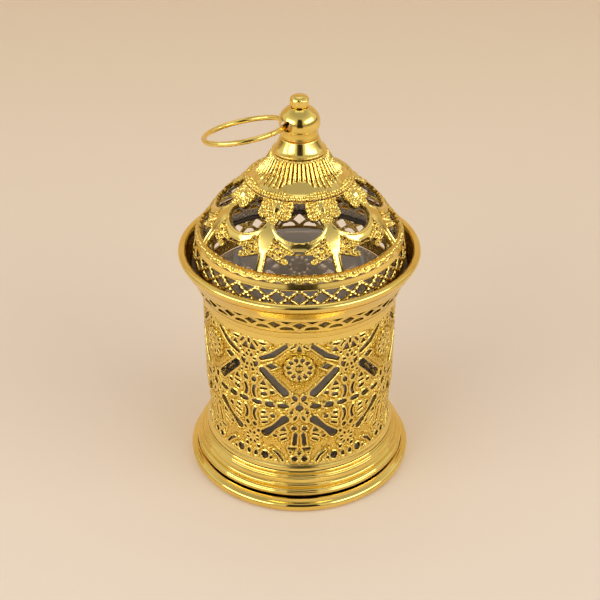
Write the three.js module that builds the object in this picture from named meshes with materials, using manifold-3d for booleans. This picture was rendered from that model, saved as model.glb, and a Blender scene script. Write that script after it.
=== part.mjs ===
// Cutwork metal lantern: a pierced drum on a moulded foot, with a flared rim,
// a lift-off domed lid, a finial with a swinging carry ring, and a glass candle cup.
// Millimetres, +Z up. The origin is the centre of the underside, the front faces -Y.

import * as THREE from "three";
import { mergeVertices } from "three/addons/utils/BufferGeometryUtils.js";
import Module from "manifold-3d";

const wasm = await Module();
wasm.setup();

// Overall sizes
const FIT_GAP = 0.3;
const SHEET = 1.2;
const DRUM_RADIUS = 38.3;
const DRUM_HEIGHT = 64.5;
const RIM_RADIUS = 47.5;

// How finely round pieces are faceted
const ROUND_SEGMENTS = 30;
const SMALL_SEGMENTS = 20;
const PLATE_SEGMENTS = 24;
const NECK_SEGMENTS = 48;
const SKIRT_SEGMENTS = 32;
const DOME_SEGMENTS = 24;
const FLUTED_SEGMENTS = 48;
const FLATNESS = 0.01;

// Candle plate: fills the foot, with a ring that centres the cup
const TRAY_FLOOR = 1.6;
const FOOT_BOTTOM = TRAY_FLOOR + FIT_GAP;
const PLATE_OVERHANG = 1.1;
const PLATE_RADIUS = DRUM_RADIUS + PLATE_OVERHANG;
const PLATE_HEIGHT = 7.7;
const PLATE_TOP = FOOT_BOTTOM + PLATE_HEIGHT;
const PLATE_EDGE = 1;
const SOCKET_HEIGHT = 2.4;
const SOCKET_WALL = 1.2;
const SOCKET_CLEARANCE = 0.4;

// Base tray and foot, from the plate outwards
const PLATE_CLEARANCE = 0.7;
const FOOT_WALL = 1.8;
const FOOT_BORE_RADIUS = PLATE_RADIUS + PLATE_CLEARANCE;
const FOOT_SPIGOT_RADIUS = FOOT_BORE_RADIUS + FOOT_WALL;
const TRAY_CLEARANCE = 0.5;
const TRAY_WELL_RADIUS = FOOT_SPIGOT_RADIUS + TRAY_CLEARANCE;
const TRAY_WALL = 2;
const TRAY_ROLL = 2.1;
const BASE_RADIUS = TRAY_WELL_RADIUS + TRAY_WALL + TRAY_ROLL;
const TRAY_ROLL_TOP = 4.2;
const TRAY_HEIGHT = 5.5;

// Foot mouldings: how far each stands out from the drum, how deep it is and how high
const FOOT_TORUS_OUT = 5.6;
const FOOT_TORUS_DEPTH = 1.7;
const FOOT_TORUS_HEIGHT = 3.3;
const FOOT_WAIST_OUT = 3.5;
const FOOT_WAIST_DEPTH = 0.5;
const FOOT_WAIST_HEIGHT = 3.4;
const FOOT_BEAD_OUT = 2.1;
const FOOT_BEAD_DEPTH = 0.9;
const FOOT_BEAD_HEIGHT = 2.6;
const FOOT_SHELF = 1.4;
const FOOT_SHELF_WIDTH = 0.5;
const FOOT_TORUS_BOTTOM = TRAY_HEIGHT + 2 * FIT_GAP;
const FOOT_WAIST_BOTTOM = FOOT_TORUS_BOTTOM + FOOT_TORUS_HEIGHT;
const FOOT_BEAD_BOTTOM = FOOT_WAIST_BOTTOM + FOOT_WAIST_HEIGHT;
const FOOT_TOP = FOOT_BEAD_BOTTOM + FOOT_BEAD_HEIGHT;

// Glass candle cup: a tall tumbler that ends under the lid
const CUP_HEIGHT = 81.1;
const CUP_BASE_RADIUS = 24.4;
const CUP_MOUTH_RADIUS = 26.4;
const CUP_WALL = 2;
const CUP_FLOOR = 4;
const CUP_EDGE = 1;
const CUP_BOTTOM = PLATE_TOP + FIT_GAP;
const SOCKET_RADIUS = CUP_BASE_RADIUS + SOCKET_CLEARANCE;

// Cutwork on the drum: six equal fields, each mirrored about its own centre line.
// It is drawn on a half field of these sizes and fitted to the wall.
const FIELDS = 6;
const PATTERN_WIDTH = 20.05;
const PATTERN_HEIGHT = 64.5;
const CROSS_LEVEL = 31.3;
const ARM_HALF_WIDTH = 1.6;
const GARLAND_CENTRE = [23, 74.4];
const GARLAND_RADIUS = 23.4;
const GARLAND_WIDTH = 1.9;
const DRUM_BOTTOM = FOOT_TOP + FIT_GAP;
const DRUM_TOP = DRUM_BOTTOM + DRUM_HEIGHT;
const DRUM_FLARE = 0.7;
const DRUM_FLARE_HEIGHT = 1.9;

// Neck between drum and rim, with its lattice and the ledge that carries the lid
const NECK_BOTTOM = DRUM_TOP + FIT_GAP;
const NECK_HEIGHT = 13.8;
const NECK_TOP = NECK_BOTTOM + NECK_HEIGHT;
const NECK_STEP = 1;
const NECK_FLARE = 1.25;
const NECK_LATTICE_RISE = 4.1;
const NECK_DIAMONDS = 24;
const NECK_DIAMOND_WIDTH = 4.9;
const NECK_DIAMOND_HEIGHT = 2.9;
const LIP_WIDTH = 3.2;
const LIP_HEIGHT = 4;
const LEDGE_RISE = 11.1;
const LEDGE_TOP = NECK_BOTTOM + LEDGE_RISE;
const LEDGE_THICKNESS = 1;
const LEDGE_WIDTH = 2.5;

// Lid skirt, gallery and dome
const SKIRT_CLEARANCE = 1.8;
const SKIRT_BOTTOM = LEDGE_TOP + FIT_GAP;
const SKIRT_HEIGHT = 11.3;
const SKIRT_TOP = SKIRT_BOTTOM + SKIRT_HEIGHT;
const SKIRT_TAPER = 0.7;
const SKIRT_LATTICE_RISE = 6.2;
const SKIRT_DIAMONDS = 32;
const SKIRT_DIAMOND_WIDTH = 6.4;
const SKIRT_DIAMOND_HEIGHT = 4.5;
const GALLERY_BOTTOM = SKIRT_TOP + FIT_GAP;
const GALLERY_HEIGHT = 2.7;
const GALLERY_BEADS = 48;
const GALLERY_SET_IN = 1;
const GALLERY_WIDTH = 2.4;
const GALLERY_SCALLOP = 0.7;
const DOME_BOTTOM = GALLERY_BOTTOM + GALLERY_HEIGHT + FIT_GAP;
const DOME_HEIGHT = 20.1;
const DOME_TOP = DOME_BOTTOM + DOME_HEIGHT;
const DOME_SET_IN = 1.3;
const DOME_MOUTH_RADIUS = 20.6;
const DOME_ROUNDNESS = 1.22;
const DOME_BAYS = 8;
const DOME_SHEET = 1.9;
const DOME_RELIEF = 0.5;

// Crown cap over the dome
const CROWN_BOTTOM = DOME_TOP + FIT_GAP;
const CROWN_HEIGHT = 11.2;
const CROWN_TOP = CROWN_BOTTOM + CROWN_HEIGHT;
const CROWN_EDGE_RADIUS = DOME_MOUTH_RADIUS - FIT_GAP;
const CROWN_NECK_RADIUS = 10.7;
const CROWN_SWEEP = 1.7;
const CROWN_LIP_HEIGHT = 1.4;
const CROWN_LIP_STEP = 0.5;
const CROWN_WALL = 2.2;
const FLUTES = 24;
const FLUTE_DEPTH = 0.9;
const FLUTE_LENGTH = 6.5;

// Finial, its stud and the carry ring
const STUD_RADIUS = 2;
const STUD_END = 2.1;
const STUD_REACH = 2.4;
const COLLAR_BOTTOM = CROWN_TOP + FIT_GAP;
const COLLAR_HEIGHT = 5.5;
const COLLAR_TOP = COLLAR_BOTTOM + COLLAR_HEIGHT;
const COLLAR_RADIUS = 10.3;
const COLLAR_NECK_RADIUS = 7.3;
const COLLAR_SWEEP = 0.85;
const COLLAR_ROLL = 0.5;
const COLLAR_ROLL_HEIGHT = 1;
const BAND_BOTTOM = COLLAR_TOP + FIT_GAP;
const BAND_HEIGHT = 3.4;
const BAND_TOP = BAND_BOTTOM + BAND_HEIGHT;
const BAND_RADIUS = 7.1;
const BAND_EDGE = 0.3;
const BALL_RADIUS = 7.8;
const BALL_FLATTENING = 0.87;
const BALL_FLAT_DROP = 1.7;
const BALL_BOTTOM = BAND_TOP + FIT_GAP;
const BALL_CENTRE = BALL_BOTTOM + BALL_FLAT_DROP;
const KNOB_RADIUS = 3.65;
const KNOB_HEIGHT = 4.3;
const KNOB_DOME = 1.7;
const WASHER_RADIUS = 6.5;
const WASHER_THICKNESS = 1;
const NUT_RADIUS = 4.2;
const NUT_HEIGHT = 3.2;
const RING_RADIUS = 15.7;
const WIRE_RADIUS = 1;
const RING_DROOP = THREE.MathUtils.degToRad(10.8);
const RING_TILT = THREE.MathUtils.degToRad(9);
const RING_JOINT_ANGLE = THREE.MathUtils.degToRad(-52);
const RING_JOINT_GAP = 0.4;
const RING_BORE_X = -5.15;
const RING_BORE_DROP = 0.7;
const RING_BORE_LEVEL = BALL_CENTRE - RING_BORE_DROP;
const RING_BORE_RADIUS = 1.85;
const RING_BORE_LAND = 3.6;
const RING_MOUTH_RADIUS = 2.7;

// Finishes
const GOLD = { color: 0xd9a93c, roughness: 0.18, metalness: 1 };
const SATIN_GOLD = { color: 0xdcae45, roughness: 0.38, metalness: 1 };
const DARK_STEEL = { color: 0x6b6660, roughness: 0.45, metalness: 1 };
const CLEAR_GLASS = { color: 0xc9cfd2, roughness: 0.05, metalness: 0, transparent: true, opacity: 0.35 };

const lantern = new THREE.Group();

function addPiece(name, geometry, finish) {
  const piece = new THREE.Mesh(geometry, new THREE.MeshStandardMaterial(finish));
  piece.name = name;
  lantern.add(piece);
  return piece;
}

// A profile of [radius, height] points, counter-clockwise, turned about Z
function turned(profile, segments = ROUND_SEGMENTS) {
  const points = profile.map(([radius, height]) => new THREE.Vector2(radius, height));
  if (profile[0][0] > 0) {
    points.push(points[0].clone());
  }
  return new THREE.LatheGeometry(points, segments).rotateX(Math.PI / 2);
}

// Outer skin points and the same skin moved inwards by the sheet's thickness
function shellProfile(skin, thickness) {
  const inner = skin.map(([radius, height]) => [radius - thickness, height]).reverse();
  return [...skin, ...inner];
}

// Half-round moulding that stands out to a radius between two levels
function moulding(radius, low, high, depth, steps = 4) {
  return Array.from({ length: steps + 1 }, (_, k) => {
    const angle = THREE.MathUtils.lerp(-Math.PI / 2, Math.PI / 2, k / steps);
    return [
      radius - depth + depth * Math.cos(angle),
      (low + high) / 2 + ((high - low) / 2) * Math.sin(angle),
    ];
  });
}

// Points at even steps along a curve given by its share from 0 to 1
function curve(pointAt, steps, from = 0) {
  return Array.from({ length: steps + 1 }, (_, k) => pointAt(THREE.MathUtils.lerp(from, 1, k / steps)));
}

function toSolid(geometry) {
  const bare = geometry.clone();
  bare.deleteAttribute("normal");
  bare.deleteAttribute("uv");
  const merged = mergeVertices(bare, 1e-4);
  const corners = [];
  const index = merged.index.array;
  for (let i = 0; i < index.length; i += 3) {
    const [a, b, c] = [index[i], index[i + 1], index[i + 2]];
    if (a !== b && b !== c && c !== a) {
      corners.push(a, b, c);
    }
  }
  return new wasm.Manifold(new wasm.Mesh({
    numProp: 3,
    vertProperties: new Float32Array(merged.attributes.position.array),
    triVerts: new Uint32Array(corners),
  }));
}

function toGeometry(solid) {
  const mesh = solid.asOriginal().simplify(FLATNESS).getMesh();
  const geometry = new THREE.BufferGeometry();
  geometry.setAttribute("position", new THREE.BufferAttribute(mesh.vertProperties, 3));
  geometry.setIndex(new THREE.BufferAttribute(mesh.triVerts, 1));
  geometry.computeVertexNormals();
  return geometry;
}

// A prism that faces outwards at an angle from the front; its outline holds [across, height]
// points, counter-clockwise as seen from outside
function prism({ angle, outline }, innerRadius, outerRadius) {
  const shape = new THREE.Shape(outline.map(([across, height]) => new THREE.Vector2(across, height)));
  const block = new THREE.ExtrudeGeometry(shape, { depth: outerRadius - innerRadius, bevelEnabled: false })
    .translate(0, 0, innerRadius)
    .rotateX(Math.PI / 2)
    .rotateZ(angle);
  return toSolid(block);
}

// The wall with each cut-out pushed straight through it
function cutRound(wall, cutOuts, innerRadius, outerRadius) {
  return cutOuts.reduce((solid, cutOut) => solid.subtract(prism(cutOut, innerRadius, outerRadius)), wall);
}

// A pattern drawn on the unrolled wall, its points [along, height], faces out at its own middle
function wrapped(outline, radius, turn) {
  const middle = outline.reduce((sum, [along]) => sum + along, 0) / outline.length;
  return {
    angle: turn + middle / radius,
    outline: outline.map(([along, height]) => [radius * Math.sin((along - middle) / radius), height]),
  };
}

function mirrored(outline) {
  return outline.map(([x, height]) => [-x, height]).reverse();
}

// The outline of a bar that bends along an arc about a centre, with rounded ends
function arcSlot(centre, radius, fromAngle, toAngle, width, steps = 3) {
  const outline = [];
  const bend = (offset, angle) => [
    centre[0] + (radius + offset) * Math.cos(angle),
    centre[1] + (radius + offset) * Math.sin(angle),
  ];
  for (let i = 0; i <= steps; i += 1) {
    outline.push(bend(width / 2, THREE.MathUtils.lerp(fromAngle, toAngle, i / steps)));
  }
  for (let i = steps; i >= 0; i -= 1) {
    outline.push(bend(-width / 2, THREE.MathUtils.lerp(fromAngle, toAngle, i / steps)));
  }
  return outline;
}

function oval(x, height, halfWidth, halfHeight, sides = 5, turn = 0) {
  const outline = [];
  for (let i = 0; i < sides; i += 1) {
    const angle = (2 * Math.PI * i) / sides;
    const along = halfWidth * Math.cos(angle);
    const across = halfHeight * Math.sin(angle);
    outline.push([
      x + along * Math.cos(turn) - across * Math.sin(turn),
      height + along * Math.sin(turn) + across * Math.cos(turn),
    ]);
  }
  return outline;
}

// A slot with a lobe at each end, straight or drawn in to a waist
function boneSlot(from, to, lobe, waist = lobe) {
  const angle = Math.atan2(to[1] - from[1], to[0] - from[0]);
  const length = Math.hypot(to[0] - from[0], to[1] - from[1]);
  const middle = waist < lobe ? [[length / 2, -waist]] : [];
  const half = [[0, -lobe], ...middle, [length, -lobe]];
  const loop = [[-lobe, 0], ...half, [length + lobe, 0], ...half.map(([x, y]) => [x, -y]).reverse()];
  return loop.map(([x, y]) => [
    from[0] + x * Math.cos(angle) - y * Math.sin(angle),
    from[1] + x * Math.sin(angle) + y * Math.cos(angle),
  ]);
}

// Cut-outs right of the field's centre line, at heights above the drum's foot;
// the mirror gives the left ones
function halfFieldOutlines() {
  const edge = PATTERN_WIDTH;
  const degrees = THREE.MathUtils.degToRad;
  return [
    boneSlot([5.6, 37.6], [14.3, 47], ARM_HALF_WIDTH),
    arcSlot(GARLAND_CENTRE, GARLAND_RADIUS, degrees(220), degrees(250), GARLAND_WIDTH, 2),
    boneSlot([5.7, 24.9], [14.1, 16.3], 1.8, 1),
    oval(10.9, 49.5, 2.9, 1.6, 4),
    oval(6.3, CROSS_LEVEL, 2.3, 1.15, 4),
    oval(11.5, CROSS_LEVEL, 2.1, 1.45, 4),
    oval(17, CROSS_LEVEL, 2.2, 1.15, 4),
    oval(1.7, 35.5, 0.95, 1.5, 4, degrees(-20)),
    oval(edge - 1.8, 41.8, 0.95, 1.35, 4),
    oval(edge - 1.6, 36.3, 0.6, 2.5, 4),
    oval(edge - 1.6, 25.2, 0.6, 2.8, 4),
    oval(1.75, 14.7, 0.75, 3, 4, degrees(-9)),
    [[7.8, 11.6], [11.2, 8.1], [14.9, 11]],
    oval(14.4, 5.2, 1.6, 1.5, 4),
  ];
}

function drumCutOuts() {
  const fieldWidth = (2 * Math.PI * DRUM_RADIUS) / FIELDS;
  const widen = fieldWidth / (2 * PATTERN_WIDTH);
  const heighten = DRUM_HEIGHT / PATTERN_HEIGHT;
  const right = halfFieldOutlines();
  const hub = oval(0, CROSS_LEVEL - 0.5, 1.6, 1.6);
  const field = [...right, ...right.map(mirrored), hub].map((outline) => (
    outline.map(([along, height]) => [along * widen, DRUM_BOTTOM + height * heighten])
  ));
  const fieldTurns = Array.from({ length: FIELDS }, (_, k) => (2 * Math.PI * k) / FIELDS);
  return fieldTurns.flatMap((turn) => field.map((outline) => wrapped(outline, DRUM_RADIUS, turn)));
}

// A row of diamonds round a wall, as crossing straps leave it
function diamondRow({ level, repeats, width, height }) {
  const outline = [[-width / 2, level], [0, level - height / 2], [width / 2, level], [0, level + height / 2]];
  return Array.from({ length: repeats }, (_, k) => ({ angle: (2 * Math.PI * k) / repeats, outline }));
}

// Base tray: a flat dish with a stepped, rolled edge
addPiece("base_tray", turned([
  [0, 0], ...moulding(BASE_RADIUS, 0, TRAY_ROLL_TOP, TRAY_ROLL),
  [TRAY_WELL_RADIUS + TRAY_WALL, TRAY_HEIGHT], [TRAY_WELL_RADIUS, TRAY_HEIGHT],
  [TRAY_WELL_RADIUS, TRAY_FLOOR], [0, TRAY_FLOOR],
]), GOLD);

// Foot moulding: stands in the tray and steps up to the drum
const footMouth = DRUM_RADIUS - SHEET - FOOT_SHELF_WIDTH;
addPiece("foot_moulding", turned([
  [FOOT_SPIGOT_RADIUS, FOOT_BOTTOM],
  ...moulding(DRUM_RADIUS + FOOT_TORUS_OUT, FOOT_TORUS_BOTTOM, FOOT_WAIST_BOTTOM, FOOT_TORUS_DEPTH, 3),
  ...moulding(DRUM_RADIUS + FOOT_WAIST_OUT, FOOT_WAIST_BOTTOM, FOOT_BEAD_BOTTOM, FOOT_WAIST_DEPTH, 2),
  ...moulding(DRUM_RADIUS + FOOT_BEAD_OUT, FOOT_BEAD_BOTTOM, FOOT_TOP, FOOT_BEAD_DEPTH, 2),
  [footMouth, FOOT_TOP], [footMouth, FOOT_TOP - FOOT_SHELF],
  [FOOT_BORE_RADIUS, PLATE_TOP + FIT_GAP], [FOOT_BORE_RADIUS, FOOT_BOTTOM],
]), GOLD);

// Candle plate: a raised floor with a ring that centres the cup
addPiece("candle_plate", turned([
  [PLATE_RADIUS - SHEET, FOOT_BOTTOM], [PLATE_RADIUS, FOOT_BOTTOM], [PLATE_RADIUS, PLATE_TOP - PLATE_EDGE],
  [PLATE_RADIUS - PLATE_EDGE, PLATE_TOP], [SOCKET_RADIUS + SOCKET_WALL, PLATE_TOP],
  [SOCKET_RADIUS + SOCKET_WALL, PLATE_TOP + SOCKET_HEIGHT], [SOCKET_RADIUS, PLATE_TOP + SOCKET_HEIGHT],
  [SOCKET_RADIUS, PLATE_TOP], [0, PLATE_TOP], [0, PLATE_TOP - SHEET],
  [PLATE_RADIUS - SHEET, PLATE_TOP - SHEET],
], PLATE_SEGMENTS), DARK_STEEL);

// Glass cup that holds the candle
addPiece("glass_cup", turned([
  [0, CUP_BOTTOM], [CUP_BASE_RADIUS - CUP_EDGE, CUP_BOTTOM], [CUP_BASE_RADIUS, CUP_BOTTOM + CUP_EDGE],
  [CUP_MOUTH_RADIUS, CUP_BOTTOM + CUP_HEIGHT], [CUP_MOUTH_RADIUS - CUP_WALL, CUP_BOTTOM + CUP_HEIGHT],
  [CUP_BASE_RADIUS - CUP_WALL, CUP_BOTTOM + CUP_FLOOR], [0, CUP_BOTTOM + CUP_FLOOR],
], PLATE_SEGMENTS), CLEAR_GLASS);

// Drum: the pierced wall between foot and neck
const drumSkin = [
  [DRUM_RADIUS, DRUM_BOTTOM], [DRUM_RADIUS, DRUM_TOP - DRUM_FLARE_HEIGHT],
  [DRUM_RADIUS + DRUM_FLARE, DRUM_TOP],
];
addPiece(
  "cutwork_drum",
  toGeometry(cutRound(
    toSolid(turned(shellProfile(drumSkin, SHEET))),
    drumCutOuts(),
    DRUM_RADIUS - 3 * SHEET,
    DRUM_RADIUS + 2 * SHEET,
  )),
  SATIN_GOLD,
);

// Neck: flares from the drum to the rim, pierced as a lattice
const neckMouth = RIM_RADIUS - LIP_WIDTH / 2;
const neckFoot = DRUM_RADIUS + NECK_STEP;

function neckRadius(level) {
  return THREE.MathUtils.lerp(neckFoot, neckMouth, ((level - NECK_BOTTOM) / NECK_HEIGHT) ** NECK_FLARE);
}
const neckRow = {
  level: NECK_BOTTOM + NECK_LATTICE_RISE,
  repeats: NECK_DIAMONDS,
  width: NECK_DIAMOND_WIDTH,
  height: NECK_DIAMOND_HEIGHT,
};
const neckSkin = [
  NECK_BOTTOM, neckRow.level - NECK_DIAMOND_HEIGHT, neckRow.level + NECK_DIAMOND_HEIGHT, NECK_TOP,
].map((level) => [neckRadius(level), level]);
addPiece(
  "neck_ring",
  toGeometry(cutRound(
    toSolid(turned(shellProfile(neckSkin, SHEET), NECK_SEGMENTS).rotateZ(Math.PI / NECK_SEGMENTS)),
    diamondRow(neckRow),
    neckFoot - 2 * SHEET,
    neckMouth,
  )),
  GOLD,
);

// Rolled lip on the neck's edge
const lipBottom = NECK_TOP + FIT_GAP;
addPiece("rim_lip", turned([
  ...moulding(RIM_RADIUS, lipBottom, lipBottom + LIP_HEIGHT, LIP_WIDTH / 2),
  ...moulding(RIM_RADIUS - LIP_WIDTH, lipBottom + LIP_HEIGHT, lipBottom, -LIP_WIDTH / 2).slice(1, -1),
]), GOLD);

// Ledge inside the neck that carries the lid
const ledgeRoom = SHEET + FIT_GAP;
const skirtRadius = neckRadius(LEDGE_TOP) - SHEET - SKIRT_CLEARANCE;
addPiece("lid_ledge", turned([
  [skirtRadius - LEDGE_WIDTH, LEDGE_TOP - LEDGE_THICKNESS],
  [neckRadius(LEDGE_TOP - LEDGE_THICKNESS) - ledgeRoom, LEDGE_TOP - LEDGE_THICKNESS],
  [neckRadius(LEDGE_TOP) - ledgeRoom, LEDGE_TOP], [skirtRadius - LEDGE_WIDTH, LEDGE_TOP],
]), DARK_STEEL);

// Lid skirt: a lattice below a plain polished band
const skirtRow = {
  level: SKIRT_BOTTOM + SKIRT_LATTICE_RISE,
  repeats: SKIRT_DIAMONDS,
  width: SKIRT_DIAMOND_WIDTH,
  height: SKIRT_DIAMOND_HEIGHT,
};
const skirtSkin = [
  [skirtRadius, SKIRT_BOTTOM], [skirtRadius, skirtRow.level + SKIRT_DIAMOND_HEIGHT / 2 + FIT_GAP],
  [skirtRadius - SKIRT_TAPER, SKIRT_TOP],
];
addPiece(
  "lid_skirt",
  toGeometry(cutRound(
    toSolid(turned(shellProfile(skirtSkin, SHEET), SKIRT_SEGMENTS).rotateZ(Math.PI / SKIRT_SEGMENTS)),
    diamondRow(skirtRow),
    skirtRadius - 3 * SHEET,
    skirtRadius + SHEET,
  )),
  GOLD,
);

// Gallery: a scalloped ring of beads under the dome
const galleryRadius = skirtRadius - GALLERY_SET_IN;

function galleryGeometry() {
  const outline = new THREE.Shape();
  const step = Math.PI / GALLERY_BEADS;
  for (let i = 0; i < 2 * GALLERY_BEADS; i += 1) {
    const radius = galleryRadius - (i % 2) * GALLERY_SCALLOP;
    const corner = [radius * Math.sin(i * step), -radius * Math.cos(i * step)];
    if (i === 0) {
      outline.moveTo(...corner);
    } else {
      outline.lineTo(...corner);
    }
  }
  const bore = new THREE.Path();
  bore.absarc(0, 0, galleryRadius - GALLERY_WIDTH, 0, 2 * Math.PI, true);
  outline.holes.push(bore);
  const ring = new THREE.ExtrudeGeometry(outline, {
    depth: GALLERY_HEIGHT, bevelEnabled: false, curveSegments: DOME_SEGMENTS / 2,
  });
  return ring.translate(0, 0, GALLERY_BOTTOM);
}
addPiece("beaded_gallery", galleryGeometry(), GOLD);

// Dome: eight pillars carry windows, with leaves beside them and a flower on each.
// Across is a share of the dome's foot radius, height a share of its height.
const domeRadius = galleryRadius - DOME_SET_IN;
const UPPER_WINDOW = [
  [0, 0.453], [0.159, 0.493], [0.221, 0.642], [0.195, 0.751], [0.092, 0.791], [0.049, 0.871], [0.069, 0.93],
];
const LOWER_WINDOW = [[0.338, 0.045], [0.323, 0.234], [0.215, 0.134], [0.133, 0.134], [0.118, 0.244]];
const LEAF = [[0.06, 0.38], [0.17, 0.16], [0.24, 0.24], [0.06, 0.58]];
const FLOWER = [[0, 0.7], [0.12, 0.73], [0.185, 0.82], [0.12, 0.94], [0, 0.97]];

function domeRadiusAt(share) {
  return THREE.MathUtils.lerp(domeRadius, DOME_MOUTH_RADIUS, share ** DOME_ROUNDNESS);
}

function onDome(outline) {
  return outline.map(([across, height]) => [across * domeRadius, DOME_BOTTOM + height * DOME_HEIGHT]);
}

function symmetric(right) {
  return [...right, ...mirrored(right.filter(([across]) => across > 0))];
}

function bayTurns(offset) {
  return Array.from({ length: DOME_BAYS }, (_, k) => (2 * Math.PI * (k + offset)) / DOME_BAYS);
}

function domeGeometry() {
  const skin = curve((share) => [domeRadiusAt(share), DOME_BOTTOM + DOME_HEIGHT * share], 4);
  const raised = skin.slice(0, -1).map(([radius, height]) => [radius + DOME_RELIEF, height]);
  const shell = turned(shellProfile(skin, DOME_SHEET), DOME_SEGMENTS);
  const cover = turned(shellProfile(raised, DOME_RELIEF + DOME_SHEET / 2), DOME_SEGMENTS);
  const windows = [UPPER_WINDOW, LOWER_WINDOW].map((right) => onDome(symmetric(right)));
  const ornament = [symmetric(FLOWER), LEAF, mirrored(LEAF)].map(onDome);
  const prisms = bayTurns(0.5).flatMap((angle) => ornament.map((outline) => prism(
    { angle, outline }, DOME_MOUTH_RADIUS / 2, domeRadius + 2 * DOME_SHEET,
  )));
  const relief = toSolid(cover).intersect(wasm.Manifold.union(prisms));
  const cutOuts = bayTurns(0).flatMap((angle) => windows.map((outline) => ({ angle, outline })));
  return cutRound(toSolid(shell).add(relief), cutOuts, DOME_MOUTH_RADIUS / 2, domeRadius + 2 * DOME_SHEET);
}
addPiece("dome", toGeometry(domeGeometry()), GOLD);

// Crown cap: a beaded edge, a smooth bell and a fluted neck
function crownRadius(level) {
  const share = (CROWN_TOP - level) / CROWN_HEIGHT;
  return THREE.MathUtils.lerp(CROWN_NECK_RADIUS, CROWN_EDGE_RADIUS, share ** CROWN_SWEEP);
}

function crownGeometry() {
  const lipTop = CROWN_BOTTOM + CROWN_LIP_HEIGHT;
  const flutesFrom = CROWN_TOP - FLUTE_LENGTH;
  const bell = curve((share) => {
    const level = THREE.MathUtils.lerp(lipTop + CROWN_LIP_STEP, CROWN_TOP, share);
    return [crownRadius(level), level];
  }, 5);
  const underside = CROWN_TOP - SHEET;
  const crown = turned([
    [CROWN_EDGE_RADIUS, CROWN_BOTTOM], [CROWN_EDGE_RADIUS - CROWN_LIP_STEP, lipTop], ...bell,
    [STUD_RADIUS + FIT_GAP, CROWN_TOP], [STUD_RADIUS + FIT_GAP, underside],
    [crownRadius(underside) - CROWN_WALL, underside], [crownRadius(flutesFrom) - CROWN_WALL, flutesFrom],
    [CROWN_EDGE_RADIUS - CROWN_WALL, CROWN_BOTTOM],
  ], FLUTED_SEGMENTS);
  const position = crown.attributes.position;
  for (let i = 0; i < position.count; i += 1) {
    const [x, y, height] = [position.getX(i), position.getY(i), position.getZ(i)];
    const radius = Math.hypot(x, y);
    const outside = radius > crownRadius(height) - CROWN_WALL / 2;
    if (outside && height > flutesFrom && height < CROWN_TOP - FIT_GAP) {
      const groove = Math.round((Math.atan2(x, -y) * FLUTES) / Math.PI) % 2 !== 0;
      const scale = groove ? 1 - FLUTE_DEPTH / radius : 1;
      position.setXY(i, x * scale, y * scale);
    }
  }
  return crown;
}
addPiece("crown_cap", crownGeometry(), GOLD);

// Finial: collar, band, ball and knob on one stud
const boreRadius = STUD_RADIUS + FIT_GAP;
const collarBell = curve((share) => [
  THREE.MathUtils.lerp(COLLAR_RADIUS - COLLAR_ROLL, COLLAR_NECK_RADIUS, share ** COLLAR_SWEEP),
  THREE.MathUtils.lerp(COLLAR_BOTTOM + COLLAR_ROLL_HEIGHT, COLLAR_TOP, share),
], 4);
addPiece("finial_collar", turned([
  [boreRadius, COLLAR_BOTTOM],
  ...moulding(COLLAR_RADIUS, COLLAR_BOTTOM, COLLAR_BOTTOM + COLLAR_ROLL_HEIGHT, COLLAR_ROLL, 3).slice(0, -1),
  ...collarBell, [boreRadius, COLLAR_TOP],
], SMALL_SEGMENTS), GOLD);

// The carry ring's bore, drilled low through the ball and along the band's upper edge
const ringBore = toSolid(turned([
  [0, -2 * BALL_RADIUS], [RING_MOUTH_RADIUS, -2 * BALL_RADIUS], [RING_MOUTH_RADIUS, -BALL_RADIUS],
  [RING_BORE_RADIUS, -RING_BORE_LAND], [RING_BORE_RADIUS, RING_BORE_LAND],
  [RING_MOUTH_RADIUS, BALL_RADIUS], [RING_MOUTH_RADIUS, 2 * BALL_RADIUS], [0, 2 * BALL_RADIUS],
], 12).rotateX(Math.PI / 2 - RING_TILT).translate(RING_BORE_X, 0, RING_BORE_LEVEL));

const finialBand = toSolid(turned([
  [boreRadius, BAND_BOTTOM], [BAND_RADIUS - BAND_EDGE, BAND_BOTTOM], [BAND_RADIUS, BAND_BOTTOM + BAND_EDGE],
  [BAND_RADIUS, BAND_TOP - BAND_EDGE], [BAND_RADIUS - BAND_EDGE, BAND_TOP], [boreRadius, BAND_TOP],
], SMALL_SEGMENTS));
addPiece("finial_band", toGeometry(finialBand.subtract(ringBore)), GOLD);

const STUD_TOP = BALL_CENTRE + STUD_REACH;
const ballHalfHeight = BALL_RADIUS * BALL_FLATTENING;
const ballTopAngle = Math.acos(KNOB_RADIUS / BALL_RADIUS);
const ballTop = BALL_CENTRE + ballHalfHeight * Math.sin(ballTopAngle);
const ballBottomAngle = -Math.asin(BALL_FLAT_DROP / ballHalfHeight);
const ballSkin = curve((share) => {
  const angle = THREE.MathUtils.lerp(ballBottomAngle, ballTopAngle, share);
  return [BALL_RADIUS * Math.cos(angle), BALL_CENTRE + ballHalfHeight * Math.sin(angle)];
}, 7);
const socketTop = STUD_TOP + FIT_GAP;
const ball = toSolid(turned([
  [boreRadius, BALL_BOTTOM], ...ballSkin, [0, ballTop], [0, socketTop], [boreRadius, socketTop],
], SMALL_SEGMENTS));
addPiece("finial_ball", toGeometry(ball.subtract(ringBore)), GOLD);

const knobBottom = ballTop + FIT_GAP;
const knobShoulder = knobBottom + KNOB_HEIGHT - KNOB_DOME;
const knobDome = curve((share) => [
  KNOB_RADIUS * Math.cos((Math.PI / 2) * share), knobShoulder + KNOB_DOME * Math.sin((Math.PI / 2) * share),
], 3).slice(0, -1);
addPiece("finial_knob", turned([
  [0, knobBottom], [KNOB_RADIUS, knobBottom], ...knobDome, [0, knobShoulder + KNOB_DOME],
], 16), GOLD);

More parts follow.
